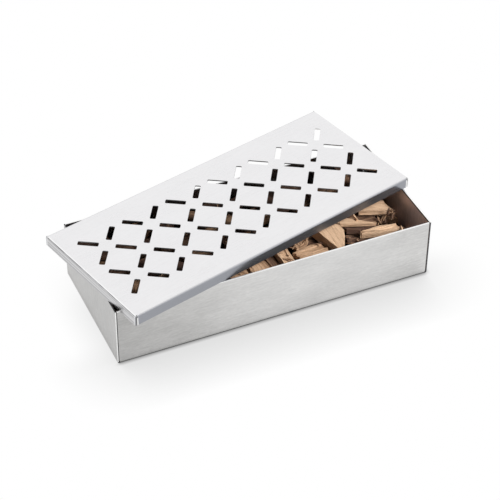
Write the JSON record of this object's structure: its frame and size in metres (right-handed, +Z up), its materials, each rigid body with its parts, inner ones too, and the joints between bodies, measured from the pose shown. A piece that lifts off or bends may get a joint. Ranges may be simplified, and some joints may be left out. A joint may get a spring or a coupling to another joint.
{
  "type": "grill smoker box",
  "caption": "Folded steel tray filled with wood chips under a loose slotted lid laid askew on its rim, for smoke on a grill.",
  "frame": {"origin": "middle of the tray's flat underside", "axes": "+Z up, +X along the tray to the end where the lid leaves the front corner open, +Y from the front wall to the rear wall"},
  "size_m": [0.2302, 0.1436, 0.048],
  "materials": {
    "tray_steel": "brushed stainless sheet",
    "lid_steel": "fine brushed stainless sheet",
    "chip_wood": "raw split hardwood"
  },
  "bodies": {
    "tray": {"tray": "tray_steel", "wood_chip_01": "chip_wood", "wood_chip_02": "chip_wood", "wood_chip_03": "chip_wood", "wood_chip_04": "chip_wood", "wood_chip_05": "chip_wood", "wood_chip_06": "chip_wood", "wood_chip_07": "chip_wood", "wood_chip_08": "chip_wood", "wood_chip_09": "chip_wood", "wood_chip_10": "chip_wood", "wood_chip_11": "chip_wood", "wood_chip_12": "chip_wood", "wood_chip_13": "chip_wood", "wood_chip_14": "chip_wood", "wood_chip_15": "chip_wood", "wood_chip_16": "chip_wood", "wood_chip_17": "chip_wood", "wood_chip_18": "chip_wood", "wood_chip_19": "chip_wood", "wood_chip_20": "chip_wood", "wood_chip_21": "chip_wood", "wood_chip_22": "chip_wood", "wood_chip_23": "chip_wood", "wood_chip_24": "chip_wood", "wood_chip_25": "chip_wood", "wood_chip_26": "chip_wood", "wood_chip_27": "chip_wood", "wood_chip_28": "chip_wood", "wood_chip_29": "chip_wood", "wood_chip_30": "chip_wood", "wood_chip_31": "chip_wood", "wood_chip_32": "chip_wood", "wood_chip_33": "chip_wood", "wood_chip_34": "chip_wood", "wood_chip_35": "chip_wood", "wood_chip_36": "chip_wood", "wood_chip_37": "chip_wood", "wood_chip_38": "chip_wood", "wood_chip_39": "chip_wood", "wood_chip_40": "chip_wood", "wood_chip_41": "chip_wood", "wood_chip_42": "chip_wood", "wood_chip_43": "chip_wood", "wood_chip_44": "chip_wood", "wood_chip_45": "chip_wood", "wood_chip_46": "chip_wood", "wood_chip_47": "chip_wood", "wood_chip_48": "chip_wood", "wood_chip_49": "chip_wood", "wood_chip_50": "chip_wood", "wood_chip_end_01": "chip_wood", "wood_chip_end_02": "chip_wood", "wood_chip_end_03": "chip_wood", "wood_chip_end_04": "chip_wood", "wood_chip_end_05": "chip_wood", "wood_chips_bottom": "chip_wood", "wood_chips_middle": "chip_wood"},
    "lid": {"lid": "lid_steel"}
  },
  "joints": [
    {"name": "lid_lift", "type": "slide", "parent": "tray", "child": "lid", "axis": [0, 0, 1], "range_m": [0, 0.08]}
  ]
}
